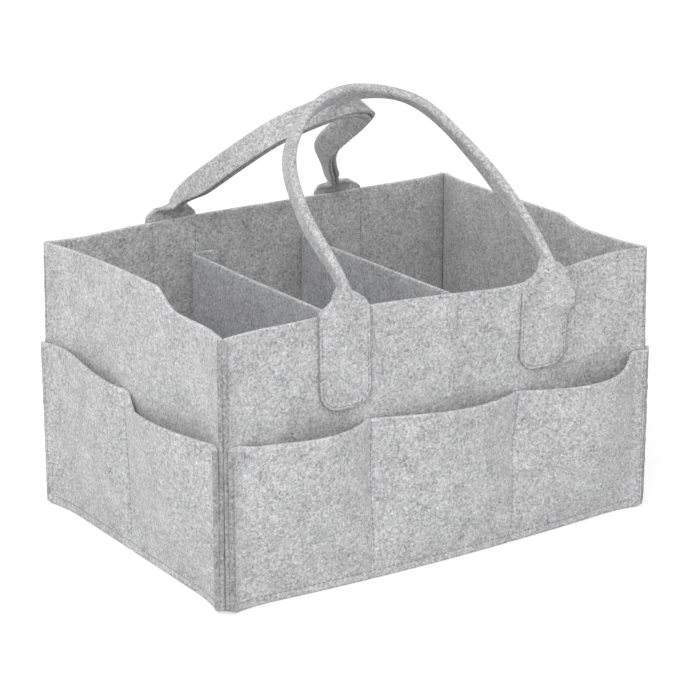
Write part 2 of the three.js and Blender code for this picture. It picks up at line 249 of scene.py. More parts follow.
def make_felt_grain():
    group = bpy.data.node_groups.new("felt_grain", "ShaderNodeTree")
    sockets = group.interface
    for name, kind, default in (
        ("Dark Fibre", "NodeSocketColor", (0.25, 0.25, 0.26, 1.0)),
        ("Pale Fibre", "NodeSocketColor", (0.75, 0.75, 0.76, 1.0)),
        ("Curl Scale", "NodeSocketFloat", 230.0),
        ("Contrast", "NodeSocketFloat", 1.0),
    ):
        sockets.new_socket(name=name, in_out="INPUT", socket_type=kind).default_value = default
    sockets.new_socket(name="Colour", in_out="OUTPUT", socket_type="NodeSocketColor")
    sockets.new_socket(name="Height", in_out="OUTPUT", socket_type="NodeSocketFloat")
    given = group.nodes.new("NodeGroupInput")
    result = group.nodes.new("NodeGroupOutput")

    place = group.nodes.new("ShaderNodeTexCoord").outputs["Object"]
    moved = new_node(group, "ShaderNodeVectorMath", operation="ADD")
    moved.inputs[1].default_value = (3.1, 7.7, 1.9)
    link(group, place, moved.inputs[0])
    curl_scale = given.outputs["Curl Scale"]

    def curls(where):
        wander = noise_node(group, where, curl_scale, 2.0, 1.8)
        off_middle = math_node(group, "ABSOLUTE", math_node(group, "SUBTRACT", wander, 0.5))
        faded = math_node(group, "MULTIPLY", off_middle, HAIR_SHARPNESS)
        return math_node(group, "SUBTRACT", 1.0, faded, clamp=True)

    def about_middle(value, weight):
        return math_node(group, "MULTIPLY", math_node(group, "SUBTRACT", value, 0.5), weight)

    dark_hairs = curls(place)
    pale_hairs = curls(moved.outputs[0])
    speck_scale = math_node(group, "MULTIPLY", curl_scale, SPECK_SCALE)
    specks = noise_node(group, moved.outputs[0], speck_scale, 1.0, 0.6)
    clouds = noise_node(group, place, CLOUD_SCALE, 3.0, 0.6)

    hairs = math_node(group, "SUBTRACT", pale_hairs, dark_hairs)
    tone = math_node(group, "MULTIPLY", hairs, HAIR_WEIGHT)
    tone = math_node(group, "ADD", tone, about_middle(specks, SPECK_WEIGHT))
    tone = math_node(group, "ADD", tone, about_middle(clouds, CLOUD_WEIGHT))
    tone = math_node(group, "MULTIPLY", tone, given.outputs["Contrast"])
    tone = math_node(group, "ADD", tone, 0.5, clamp=True)
    mix = new_node(group, "ShaderNodeMix", data_type="RGBA")
    link(group, tone, mix.inputs[0])
    link(group, given.outputs["Dark Fibre"], mix.inputs[6])
    link(group, given.outputs["Pale Fibre"], mix.inputs[7])
    link(group, mix.outputs[2], result.inputs["Colour"])
    rough = math_node(group, "ADD", math_node(group, "MULTIPLY", pale_hairs, 0.5), specks)
    link(group, rough, result.inputs["Height"])
    return group


felt_grain = make_felt_grain()
print("felt grain:", len(felt_grain.nodes), "nodes")

# %% [markdown]
# ## Felt, thread and hook tape
# The materials only choose greys and a bump depth. Felt has no gloss, but its loose surface hairs catch
# light at grazing angles, which the shader's sheen stands for. The thread gets a fine twist from a
# wave, and the hook tape is plain pale plastic with a faint mottling.

# %% Materials
# Strength of the painted highlight and painted shade on the felt's cut edges.
EDGE_LIGHT_STRENGTH = 0.3


def start_material(name, roughness):
    material = bpy.data.materials.new(name)
    material.use_nodes = True
    shader = material.node_tree.nodes["Principled BSDF"]
    shader.inputs["Roughness"].default_value = roughness
    return material, material.node_tree, shader


def bump_from(tree, height, strength, depth, shader):
    bump = new_node(tree, "ShaderNodeBump", {"Strength": strength, "Distance": depth})
    link(tree, height, bump.inputs["Height"])
    link(tree, bump.outputs[0], shader.inputs["Normal"])


def two_greys(tree, value, dark, pale, shader):
    ramp = tree.nodes.new("ShaderNodeValToRGB")
    for element, colour in zip(ramp.color_ramp.elements, (dark, pale)):
        element.color = (*colour, 1.0)
    link(tree, value, ramp.inputs[0])
    link(tree, ramp.outputs[0], shader.inputs["Base Color"])


def felt_material(name, dark, pale):
    material, tree, shader = start_material(name, 0.95)
    grain = new_node(tree, "ShaderNodeGroup", node_tree=felt_grain)
    grain.inputs["Dark Fibre"].default_value = (*dark, 1.0)
    grain.inputs["Pale Fibre"].default_value = (*pale, 1.0)
    shader.inputs["Specular IOR Level"].default_value = 0.15
    shader.inputs["Sheen Weight"].default_value = 0.25
    shader.inputs["Sheen Roughness"].default_value = 0.6
    # The edge attribute scales the felt colour: brighter is a painted highlight, darker is painted shade.
    edge = new_node(tree, "ShaderNodeAttribute", attribute_name="painted_edge_light")
    tone = math_node(tree, "ADD", math_node(tree, "MULTIPLY", edge.outputs["Fac"], EDGE_LIGHT_STRENGTH), 1.0)
    toned = new_node(tree, "ShaderNodeVectorMath", operation="SCALE")
    link(tree, grain.outputs["Colour"], toned.inputs[0])
    link(tree, tone, toned.inputs["Scale"])
    link(tree, toned.outputs[0], shader.inputs["Base Color"])
    bump_from(tree, grain.outputs["Height"], 0.5, 0.0006, shader)
    return material


def thread_material():
    material, tree, shader = start_material("grey_thread", 0.7)
    place = tree.nodes.new("ShaderNodeTexCoord").outputs["Object"]
    plain = {"Scale": 900.0, "Distortion": 1.5}
    twist = new_node(tree, "ShaderNodeTexWave", plain, bands_direction="DIAGONAL")
    link(tree, place, twist.inputs["Vector"])
    two_greys(tree, twist.outputs["Fac"], (0.20, 0.20, 0.21), (0.36, 0.36, 0.37), shader)
    bump_from(tree, twist.outputs["Fac"], 0.4, 0.0002, shader)
    return material


def hook_material():
    material, tree, shader = start_material("pale_hook_tape", 0.55)
    place = tree.nodes.new("ShaderNodeTexCoord").outputs["Object"]
    mottle = noise_node(tree, place, 700.0, 2.0, 0.0)
    two_greys(tree, mottle, (0.56, 0.56, 0.54), (0.74, 0.74, 0.72), shader)
    bump_from(tree, mottle, 0.2, 0.0002, shader)
    return material


felt_outside = felt_material("grey_felt", (0.20, 0.20, 0.204), (0.79, 0.79, 0.795))
# The pieces inside the box get a darker copy of the grey felt: painted shade for the inside.
felt_inside = felt_material("shaded_felt", (0.17, 0.171, 0.176), (0.70, 0.703, 0.712))
grey_thread = thread_material()
hook_tape = hook_material()
print("materials:", [m.name for m in (felt_outside, felt_inside, grey_thread, hook_tape)])

# %% [markdown]
# ## From a grid of points to a sheet of felt
# Every felt piece is one sheet, so one builder serves them all. It takes a grid of points on the
# middle of the cloth, each with half the cloth's thickness there, and lays a front and a back face on
# either side. A line of points just inside each edge lets the cut edge be softly rounded, because a
# knife-sharp edge is the surest sign of a computer model.

# %% Soft edges
MM = 0.001
FELT = 3.0
GAP = 0.3
EDGE_SOFTNESS = 0.9


def smooth(t):
    t = min(1.0, max(0.0, t))
    return t * t * (3.0 - 2.0 * t)


def lerp(a, b, t):
    return a + (b - a) * t


def soften_edges(grid, thinned):
    """Adds a line just inside each edge, and thins the edge itself."""
    def inset(edge, inner):
        step = np.linalg.norm((inner - edge)[..., :3], axis=-1, keepdims=True)
        return edge + (inner - edge) * np.minimum(0.5, EDGE_SOFTNESS / np.maximum(step, 1e-6))

    for axis in (0, 1):
        lines = np.moveaxis(grid, axis, 0)
        first = inset(lines[:1], lines[1:2])
        last = inset(lines[-1:], lines[-2:-1])
        lines = np.concatenate([lines[:1], first, lines[1:-1], last, lines[-1:]])
        lines[0, ..., 3] *= thinned[axis]
        lines[-1, ..., 3] *= thinned[axis]
        grid = np.moveaxis(lines, 0, axis)
    return grid


print("felt", FELT, "mm, edges softened over", EDGE_SOFTNESS, "mm")

# %% [markdown]
# ## Meshes
# A sheet is a front grid, a back grid and a rim of narrow faces that joins them. Solid pieces such as
# the floor panel, the hooks and the threads are stacks of rings instead, with a cap at both ends. Each
# point of a sheet keeps a number of painted light for the cut edges: a painted highlight makes an edge
# paler, painted shade makes it darker.

# %% Sheet builder
def sheet_faces(grid):
    """Front points, back points and outward directions of a grid of (x, y, z, half thickness)."""
    middle = grid[..., :3]
    direction = np.cross(np.gradient(middle, axis=1), np.gradient(middle, axis=0))
    direction /= np.maximum(np.linalg.norm(direction, axis=-1, keepdims=True), 1e-9)
    half = grid[..., 3:]
    return middle + direction * half, middle - direction * half, direction


def stacked_faces(first, rings, count):
    """Faces of a closed stack of rings, whose points are numbered from first."""
    faces = [tuple(first + i for i in reversed(range(count)))]
    for start in range(first, first + (rings - 1) * count, count):
        for i in range(count):
            j = (i + 1) % count
            faces.append((start + i, start + j, start + count + j, start + count + i))
    last = first + (rings - 1) * count
    faces.append(tuple(last + i for i in range(count)))
    return faces


def new_object(name, points, faces, material):
    mesh = bpy.data.meshes.new(name)
    mesh.from_pydata([tuple(p) for p in np.asarray(points) * MM], [], faces)
    mesh.materials.append(material)
    mesh.shade_smooth()
    mesh.validate()
    piece = bpy.data.objects.new(name, mesh)
    scene.collection.objects.link(piece)
    return piece


def felt_sheet(name, grid, material, thinned=(0.7, 0.7), edge_shading=(0.5, 0.5, 0.5)):
    """A closed sheet, with painted highlight (+) or painted shade (-) on its bottom, end and top edges."""
    grid = soften_edges(np.asarray(grid, float), thinned)
    front, back, _ = sheet_faces(grid)
    rows, columns = grid.shape[:2]
    count = rows * columns
    at = np.arange(count).reshape(rows, columns)
    a, b, c, d = at[:-1, :-1], at[:-1, 1:], at[1:, 1:], at[1:, :-1]
    quads = np.stack([a, b, c, d], -1).reshape(-1, 4)
    faces = [tuple(q) for q in quads.tolist()]
    faces += [tuple(q[::-1] + count) for q in quads]
    rim = np.concatenate([at[0, :-1], at[:-1, -1], at[-1, :0:-1], at[:0:-1, 0]])
    for start, end in zip(rim, np.roll(rim, -1)):
        faces.append((start, start + count, end + count, end))
    points = np.concatenate([front.reshape(-1, 3), back.reshape(-1, 3)])
    faces = [tuple(int(i) for i in f) for f in faces]
    piece = new_object(name, points, faces, material)
    # Painted light per point on the cut edges, read by the felt material.
    cut = np.zeros((2, rows, columns), np.float32)
    cut[:, :, (0, -1)] = np.reshape(edge_shading[1], (-1, 1))
    cut[:, 0] = edge_shading[0]
    cut[:, -1] = edge_shading[2]
    piece.data.attributes.new("painted_edge_light", "FLOAT", "POINT").data.foreach_set("value", cut.ravel())
    return piece


print("a box of two stacked rings has", len(stacked_faces(0, 2, 4)), "faces")

# %% Sheet size and finish
def flat_size(grid):
    """Width and length of the cloth laid flat, and its area, in metres."""
    middle = np.asarray(grid, float)[..., :3] * MM
    across = np.diff(middle, axis=1)
    along = np.diff(middle, axis=0)
    width = np.linalg.norm(across, axis=-1).sum(1).max()
    length = np.linalg.norm(along, axis=-1).sum(0).max()
    cells = np.cross(across[:-1], along[:, :-1])
    return (float(width), float(length)), float(np.linalg.norm(cells, axis=-1).sum())


def finish_sheet(piece, nodes, body):
    """Hides the solids the sheet stands for and attaches it to what carries it, if anything."""
    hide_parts(*nodes)
    if body:
        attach(piece, body)


unit_square = [[(x, y, 0.0, 1.0) for x in (0.0, 1000.0)] for y in (0.0, 1000.0)]
print("a flat square of 1 m measures", flat_size(unit_square))

# %% [markdown]
# ## How the four sides are laid out
# A side is drawn as seen from outside: a runs along it, o stands out from the wall's inner face. The
# wall is the first layer of cloth and the pocket strip the second. At its ends each layer turns out at
# 45 degrees and lies against the next side's layers, which makes the fins at the corners. The front
# and rear bow out at the floor, and the rims wander a little, because felt isn't board.

# %% Side layout
HALF_X = 166.0
HALF_Y = 113.5
FRONT_HEIGHT = 184.0
REAR_HEIGHT = 196.5
FRONT_POCKET = 112.0
REAR_POCKET = 121.0


def make_side(half, place, seams, leans, mouths, skews, seed):
    """Seams at mid height with their lean, and how far and where each pocket's mouth stands open."""
    return SimpleNamespace(
        half=half, place=place, seams=seams, leans=leans, mouths=mouths, skews=skews, seed=seed,
        long=half == HALF_X)


SIDES = {
    "front": make_side(
        HALF_X, lambda a, o: (a, -HALF_Y - o), (-60.5, 57.0), (3.0, 11.0), (14.8, 14.0, 19.0),
        (1.4, 1.2, 1.35), 1.0),
    "right": make_side(
        HALF_Y, lambda a, o: (HALF_X + o, a), (6.0,), (0.0,), (11.0, 8.5), (1.2, 1.1), 2.0),
    "rear": make_side(
        HALF_X, lambda a, o: (-a, HALF_Y + o), (-59.0, 59.0), (2.0, -3.0), (13.0, 14.0, 13.0),
        (1.2, 1.1, 1.0), 3.0),
    "left": make_side(
        HALF_Y, lambda a, o: (-HALF_X - o, -a), (-6.0,), (0.0,), (7.5, 13.2), (1.6, 1.2), 4.0),
}


print("seams:", {name: side.seams for name, side in SIDES.items()})

# %% [markdown]
# ## Layers and corners
# Where the layers of two sides meet they lie face to face on the diagonal. So the place where a layer
# leaves its wall follows from the felt's thickness and the gap between layers, and isn't chosen.

# %% Layers and corners
DIAGONAL = math.sqrt(2.0)


def layer_offset(layer):
    return FELT / 2 + layer * (FELT + GAP)


def fin_offset(layer):
    return GAP / 2 + layer_offset(layer)


def root_reach(side, layer):
    """How far along the side the layer would run before it turns out into the fin."""
    return side.half + layer_offset(layer) - fin_offset(layer) * DIAGONAL


def hill(x, middle, width):
    return math.exp(-((x - middle) / width) ** 2)


def near_corner(side, a, length):
    """0 at a corner, 1 further along the side than a length from it."""
    return smooth((root_reach(side, 1) - abs(a)) / length)


print("walls turn out", round(root_reach(SIDES["front"], 0), 1), "mm from the middle of the front")

# %% [markdown]
# ## Top edges
# The walls and the pocket strips are cut higher at the rear. Limp felt also sags between its corners,
# so the edges are given as a cut line with a few soft hills added, each with a size, a place and a width.

# %% Top edges
STEP_START = -29.0
STEP_LENGTH = 29.0
CORNER_HANG = 3.5
RIM_WAVES = ((1.0, -58.0, 30.0), (-1.8, 45.0, 32.0))


def lifted(x, rise, start):
    """How far an edge at the front has climbed on its way to the right corner."""
    return rise * smooth((x / HALF_X - start) / (1.0 - start))


def wall_top(side, a):
    """The short walls step down to the front, whose rim sags. The rear left corner hangs a little."""
    x, y = side.place(a, 0.0)
    fallen = min(1.0, max(0.0, (STEP_START - y) / STEP_LENGTH)) ** 0.75
    front = FRONT_HEIGHT + lifted(x, 7.0, 0.4) + sum(r * hill(x, m, w) for r, m, w in RIM_WAVES)
    dip = CORNER_HANG * hill(math.hypot(x + HALF_X, y - HALF_Y), 0.0, 60.0)
    return lerp(REAR_HEIGHT, front, smooth(fallen)) - dip


def pocket_top(side, a):
    """The pocket strip steps down too, and its mouths sag between the corners."""
    x, y = side.place(a, 0.0)
    top = lerp(REAR_POCKET, FRONT_POCKET + lifted(x, 5.5, 0.82), smooth((4.0 - y) / 20.0))
    sag = 2.5 + 4.0 * hill(a, 81.0, 85.0) if side.long else 5.0 * hill(a, 0.0, 39.0)
    return top - sag * near_corner(side, a, 16.0)


for name, side in SIDES.items():
    print(name, "rim", [round(wall_top(side, a), 1) for a in (-side.half, 0.0, side.half)], "mm")

# %% [markdown]
# ## Bow, flare and slack
# The filled look of a felt box comes from small departures from flat: the long sides bow out at the
# floor, the walls flare before a corner, and the rims lean in and out. They are sums of smooth hills
# and slow noise, which keeps every departure easy to change by itself.

# %% Bow, flare and slack
BOW = 8.0
BOW_FOOT = 12.0
BOW_TOP = 80.0
FLARE = 3.5
FLARE_LENGTH = 30.0
# size, place and width of each lean of the front rim
RIM_LEANS = ((5.5, 46.0, 42.0), (-3.0, -62.0, 45.0))


def bow_out(side, a, z):
    if not side.long:
        return 0.0
    across = max(0.0, 1.0 - (a / root_reach(side, 1)) ** 2)
    return BOW * across * (1.0 - smooth((z - BOW_FOOT) / (BOW_TOP - BOW_FOOT)))


def flare_out(side, a, layer):
    """The last stretch before a corner, curving out towards the fin."""
    share = max(0.0, (abs(a) - root_reach(side, layer) + FLARE_LENGTH) / FLARE_LENGTH)
    return FLARE * share * share


def wander(side, a, z):
    """Slack of the cloth: slow waves, and a rim that leans in and out."""
    slow = 1.1 * noise.noise(Vector((a / 75.0, z / 90.0, 9.0 * side.seed))) * smooth(z / 60.0)
    lean = 0.0
    if side is SIDES["front"]:
        lean = sum(r * hill(a, m, w) for r, m, w in RIM_LEANS) * smooth((z - 60.0) / (FRONT_HEIGHT - 60.0))
    if side is SIDES["left"]:
        lean = 2.5 * hill(a, 0.0, 39.0) * hill(z, 112.0, 55.0)
    return near_corner(side, a, 40.0) * (slow + lean)


def wall_out(side, a, z):
    return bow_out(side, a, z) + wander(side, a, z)


def seam_shift(side, a, z):
    """Sideways shift of the cloth that gives a seam its lean."""
    up = min(1.0, z / FRONT_POCKET) - 0.5
    return sum(l * up * max(0.0, 1.0 - abs(a - s) / 45.0) for s, l in zip(side.seams, side.leans))


print("front bows out", round(bow_out(SIDES["front"], 0.0, 0.0), 1), "mm at the floor")

# %% [markdown]
# ## One layer of a side
# The layer's grid runs from fin tip to fin tip and from the ground to the top edge. Thick felt can't be
# creased sharply, so the wall flares towards the corner and only the last bit turns into the fin. The
# fins are pressed tight by their stitches, and their cut edges are left a little ragged and open.

# %% Layer grid
FIN_REACH = 12.5
FIN_TOP_REACH = 8.5
FIN_LIFT = 2.5
FIN_STITCH = 2.6
TURN = 3.0
FIN_END = 5
SEAM_BAND = 4.4
SEAM_STEPS = (-3.4, -2.2, -1.1, 0.0, 1.1, 2.2, 3.4)
steepness = FLARE / FLARE_LENGTH
# how far past the root the flared wall meets the straight line of the fin
CORNER_RUN = FLARE_LENGTH * (1.0 - 2.0 * steepness - math.sqrt(1.0 - 4.0 * steepness)) / (2.0 * steepness)


def along_stations(side, layer, step):
    """Places along the side: even steps, and closer ones beside the seams."""
    reach = root_reach(side, layer) + CORNER_RUN - TURN
    even = np.linspace(-reach, reach, round(2 * reach / step) + 1)
    kept = [a for a in even if all(abs(a - s) > SEAM_BAND for s in side.seams)]
    close = [s + d for s in side.seams for d in SEAM_STEPS]
    return sorted([*kept, *close])


def fin_points(side, layer, sign, share, edge, first):
    """Points of one turned-out end, from its tip to the first place on the wall."""
    z = share * edge
    fin = fin_offset(layer)
    rough = noise.noise(Vector((z / 5.0, 3.0 * layer + sign, side.seed)))
    reach = FIN_REACH + 0.5 * rough
    if layer == 0:
        reach = lerp(FIN_REACH, FIN_TOP_REACH, z / REAR_HEIGHT) + 0.5 * rough
    off_ground = FIN_LIFT * hill(z, 0.0, 8.0)

    def end_point(spread):
        along = side.half + (reach - fin - spread) / DIAGONAL
        return Vector((*side.place(sign * along, (reach + fin + spread) / DIAGONAL), z + off_ground))

    tip = end_point((0.55 + 0.3 * rough) * hill(z, 45.0, 70.0))
    root = side.place(sign * (root_reach(side, layer) + CORNER_RUN), layer_offset(layer) + CORNER_RUN)
    corner = Vector((*root, z))
    length = (corner - tip).length
    stitched = end_point(0.0).lerp(corner, min(0.45, FIN_STITCH / length))
    turn = corner.lerp(tip, min(0.45, TURN / length))
    curve = []
    for t in (0.0, 0.33, 0.66):
        curve.append(turn.lerp(corner, t).lerp(corner.lerp(first, t), t))
    return [tip, stitched, *curve]


def side_grid(side, layer, step, shares, top_at, out_at, half_at):
    stations = along_stations(side, layer, step)
    offset = layer_offset(layer)
    ends = [top_at(side, a) for a in (-side.half, side.half)]
    pressed = FELT / 2 + 0.5 * GAP
    rows = []
    for share in shares:
        middle = []
        for a in stations:
            z = share * top_at(side, a)
            o = offset + flare_out(side, a, layer) + out_at(a, z)
            middle.append((*side.place(a + seam_shift(side, a, z), o), z, half_at(a, z)))
        left = fin_points(side, layer, -1, share, ends[0], Vector(middle[0][:3]))
        right = fin_points(side, layer, 1, share, ends[1], Vector(middle[-1][:3]))
        rows.append([*((*p, pressed) for p in left), *middle, *((*p, pressed) for p in right[::-1])])
    return np.array(rows), stations


print("corner fins reach", FIN_REACH, "mm past the inner corners")

# %% [markdown]
# ## Walls
# Each wall is one sheet, higher at the rear than at the front, so the short walls step down in a soft
# S. They are laid out with points about 4 mm apart, which is enough for the slow waves.

# %% Walls
SIDE_THINNED = (0.75, 0.92)
# Painted light on the cut edges of walls and pockets: painted shade on the bottom edge and the fin edges, a
# painted highlight on the top edge.
SIDE_EDGE_SHADING = (-0.8, -1.0, 0.5)
WALL_STEP = 4.0
WALL_ROWS = np.linspace(0.0, 1.0, 56)
walls = {}
for name, side in SIDES.items():
    grid, stations = side_grid(
        side, 0, WALL_STEP, WALL_ROWS, wall_top,
        lambda a, z, side=side: wall_out(side, a, z),
        lambda a, z: FELT / 2,
    )
    piece = felt_sheet(f"{name}_wall_felt", grid, felt_outside, SIDE_THINNED, SIDE_EDGE_SHADING)
    finish_sheet(piece, [f"{name}_wall"], "box")
    walls[name] = SimpleNamespace(grid=grid, stations=stations)

# %% [markdown]
# ## Pocket strips
# A pocket strip is sewn to its wall at the bottom, at the corners and at the seams between pockets.
# Between seams the mouth stands open in a bow that fades towards the floor. The seams pull the cloth
# in and squeeze it, and short creases run from the pulled corners. All of this is in the grid, as
# real shape, so it shows from any side and in any light.

# %% Pocket strips
BOTTOM_STITCH = 6.0
POCKET_STEP = 2.6
SEAM_LAND = 3.0
CREASE_PITCH = 9.0
POCKET_ROWS = np.unique(np.concatenate([np.linspace(0.0, 1.0, 48), [BOTTOM_STITCH / FRONT_POCKET]]))


def pocket_bulge(side, a, z):
    edges = [-root_reach(side, 1), *side.seams, root_reach(side, 1)]
    number = sum(a > s for s in side.seams)
    start = edges[number] + SEAM_LAND
    end = edges[number + 1] - SEAM_LAND
    across = min(1.0, max(0.0, (a - start) / (end - start))) ** side.skews[number]
    up = min(1.0, max(0.0, z - BOTTOM_STITCH) / (pocket_top(side, a) - BOTTOM_STITCH))
    return side.mouths[number] * max(0.0, math.sin(math.pi * across)) ** 0.8 * (1.0 - (1.0 - up) ** 2)


def seam_pull(side, a):
    return max(hill(a, s, 2.0) for s in side.seams)


def creases(side, a, z):
    """Short folds that run down and away from the top of each seam."""
    total = 0.0
    for number, seam in enumerate(side.seams):
        for hand in (-1, 1):
            away = hand * (a - seam)
            strength = 0.8 if number == 1 and hand < 0 else 0.35
            mask = hill(away, 19.0, 12.0) * hill(z, 92.0, 24.0) * smooth((away - 3.0) / 8.0)
            total += strength * mask * math.sin(2.0 * math.pi * (0.8 * away + 0.45 * z) / CREASE_PITCH)
    return total


def pocket_out(side, a, z):
    return wall_out(side, a, z) + pocket_bulge(side, a, z) + creases(side, a, z) - 0.2 * seam_pull(side, a)


pockets = {}
for name, side in SIDES.items():
    grid, stations = side_grid(
        side, 1, POCKET_STEP, POCKET_ROWS, pocket_top,
        lambda a, z, side=side: pocket_out(side, a, z),
        lambda a, z, side=side: FELT / 2 - 0.5 * seam_pull(side, a),
    )
    piece = felt_sheet(f"{name}_pockets_felt", grid, felt_outside, SIDE_THINNED, SIDE_EDGE_SHADING)
    finish_sheet(
        piece, [f"{name}_pockets"], "box")
    pockets[name] = SimpleNamespace(grid=grid, stations=stations)

# %% [markdown]
# ## Floor panel and insert
# The floor panel is a shallow tray turned upside down: its edges go down into the bottom seam between
# the walls. A stiff insert lies loose on it. Both are built as closed rings that follow one outline,
# inset and raised step by step, which is how a potter would turn a profile.

PANEL_PAST = 1.0
INSERT_CORNER = 6.0
INSERT_GAP = 1.5


def ring_solid(name, rings, material):
    faces = stacked_faces(0, len(rings), len(rings[0]))
    return new_object(name, np.concatenate([np.array(r, float) for r in rings]), faces, material)


def floor_ring(inset, z):
    """The inner outline of the walls at the floor, with their bow and their flared corners."""
    front, right = SIDES["front"], SIDES["right"]
    half = []
    for x in np.linspace(-HALF_X - PANEL_PAST + inset, HALF_X + PANEL_PAST - inset, 90):
        half.append((x, -HALF_Y + GAP + inset - bow_out(front, x, 0.0) - flare_out(front, x, 0)))
    for y in np.linspace(-HALF_Y - PANEL_PAST + inset, HALF_Y + PANEL_PAST - inset, 60):
        half.append((HALF_X - GAP - inset + flare_out(right, y, 0), y))
    return [(x, y, z) for x, y in [*half, *((-x, -y) for x, y in half)]]


def insert_ring(inset, z):
    """A rectangle with rounded corners."""
    corner = max(1.0, INSERT_CORNER - inset)
    x0 = HALF_X - INSERT_GAP - inset - corner
    y0 = HALF_Y - INSERT_GAP - inset - corner
    ring = []
    for quarter, (sx, sy) in enumerate(((1, 1), (-1, 1), (-1, -1), (1, -1))):
        for t in (quarter + np.linspace(0.0, 1.0, 7)) * math.pi / 2:
            ring.append((sx * x0 + corner * math.cos(t), sy * y0 + corner * math.sin(t), z))
    return ring


# inset from the outline and height of each ring
PANEL_PROFILE = (
    (60.0, 6.0), (9.0, 6.0), (4.5, 5.6), (3.2, 4.4), (3.0, 1.0), (2.4, 0.1),
    (0.7, 0.1), (0.1, 1.0), (0.1, 5.6), (0.8, 7.9), (2.6, 8.9), (6.0, 9.0), (60.0, 9.0),
)
INSERT_PROFILE = ((50.0, 9.3), (1.2, 9.3), (0.2, 10.0), (0.0, 10.8), (0.2, 11.6), (1.2, 12.3), (50.0, 12.3))
panel = ring_solid("base_panel_felt", [floor_ring(i, z) for i, z in PANEL_PROFILE], felt_inside)
insert = ring_solid("floor_insert_felt", [insert_ring(i, z) for i, z in INSERT_PROFILE], felt_inside)
for piece, node in ((panel, "base_panel"), (insert, "floor_insert")):
    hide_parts(node)
    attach(piece, "box")
    print(piece.name, len(piece.data.polygons), "faces")

# %% [markdown]
# ## Dividers
# A divider is a panel across the box whose ends fold into flaps along the walls. The flaps hold on with
# strips of hook tape, so a divider can be pulled off and set elsewhere.

# %% Dividers
DIVIDER_FOOT = 12.6
DIVIDER_TOP = 170.0
DIVIDERS = {"left": -60.0, "right": 34.0}
FLAP = 24.0
FLAP_MIDDLE = 109.4
FOLD = 5.0
FLAP_CORNER = 7.0
SLACK = 2.2


def divider_plan():
    """The bent panel seen from above, as places along it: flap, fold, panel, fold, flap."""
    def bend(y, side):
        start = Vector((FOLD, y))
        end = Vector((0.0, y - side * FOLD))
        corner = Vector((0.0, y))
        return [start.lerp(corner, t).lerp(corner.lerp(end, t), t) for t in np.linspace(0.0, 1.0, 6)]

    front = [Vector((x, -FLAP_MIDDLE)) for x in np.linspace(FLAP, FOLD, 9)[:-1]]
    panel_ys = np.linspace(-FLAP_MIDDLE + FOLD, FLAP_MIDDLE - FOLD, 52)[1:-1]
    rear = [Vector((v.x, FLAP_MIDDLE)) for v in reversed(front)]
    first = bend(-FLAP_MIDDLE, -1)
    last = bend(FLAP_MIDDLE, 1)[::-1]
    return [*front, *first, *(Vector((0.0, y)) for y in panel_ys), *last, *rear]


def divider_grid(x, seed):
    rows = []
    for share in np.linspace(0.0, 1.0, 40):
        row = []
        for p in divider_plan():
            end = FLAP_CORNER - min(FLAP_CORNER, FLAP - p.x)
            cut = FLAP_CORNER - math.sqrt(FLAP_CORNER**2 - end * end)
            z = lerp(DIVIDER_FOOT + cut, DIVIDER_TOP - cut, share)
            slack = smooth((FLAP_MIDDLE - abs(p.y)) / 50.0) * smooth((z - DIVIDER_FOOT) / 60.0)
            wave = SLACK * noise.noise(Vector((p.y / 80.0, z / 110.0, seed))) * slack
            row.append((x + p.x + wave, p.y, z, FELT / 2))
        rows.append(row)
    return np.array(rows)


for name, x in DIVIDERS.items():
    grid = divider_grid(x, 31.0 + x)
    piece = felt_sheet(f"{name}_divider_felt", grid, felt_inside)
    finish_sheet(
        piece, [f"{name}_divider"], f"{name}_divider")

# %% [markdown]
# ## Hook tapes
# The tape is a thin backing with rows of tiny bent posts. The posts are made one by one, because they
# show from above between flap and wall.

# %% Hook tapes
TAPE_WIDTH = 20.0
TAPE_LENGTH = 110.0
TAPE_BACK = 1.1
TAPE_TOP = DIVIDER_TOP - 10.0
TAPE_CORNER = 3.0
TAPE_DEPTH = 2.0
TAPE_EDGE = 0.5
HOOK_PITCH = 2.5
HOOK_WIDTH = 16.0
HOOK_LENGTH = 105.0
# rise off the backing, lean and half thickness of a post, from foot to hook
HOOK_PROFILE = ((0.0, 0.0, 0.30), (0.4, 0.0, 0.22), (0.75, 0.12, 0.20), (0.85, 0.45, 0.12))


def tape_backing(outer, facing):
    """A thin strip with rounded corners, as rings in its own width and height."""
    def ring(inset, o):
        w = TAPE_WIDTH / 2 - inset
        h = TAPE_LENGTH / 2 - inset
        r = TAPE_CORNER - inset
        points = []
        for cx, cz, start in ((w - r, h - r, 0), (r - w, h - r, 1), (r - w, r - h, 2), (w - r, r - h, 3)):
            for t in np.linspace(start, start + 1, 5) * math.pi / 2:
                points.append((cx + r * math.cos(t), o, cz + r * math.sin(t)))
        return points

    inner = outer - TAPE_DEPTH
    steps = ((TAPE_EDGE, 0.0), (0.0, 0.3), (0.0, 0.8), (TAPE_EDGE, TAPE_BACK))
    rings = [ring(inset, inner + rise) for inset, rise in steps]
    if facing > 0:
        rings = rings[::-1]
    return [[(x, facing * o, z) for x, o, z in r] for r in rings]


def hook_posts(outer, facing):
    """Tiny bent posts in rows, pointing at the wall."""
    points = []
    faces = []
    base = outer - TAPE_DEPTH + TAPE_BACK - 0.1
    for x in np.arange(-HOOK_WIDTH / 2, HOOK_WIDTH / 2 + 0.1, HOOK_PITCH):
        for z in np.arange(-HOOK_LENGTH / 2, HOOK_LENGTH / 2 + 0.1, HOOK_PITCH):
            start = len(points)
            for rise, lean, half in HOOK_PROFILE:
                for dx, dz in ((-half, -half), (half, -half), (half, half), (-half, half)):
                    points.append((x + dx, facing * (base + rise), z + lean + dz))
            faces += stacked_faces(start, len(HOOK_PROFILE), 4)
    return points, [f if facing < 0 else f[::-1] for f in faces]


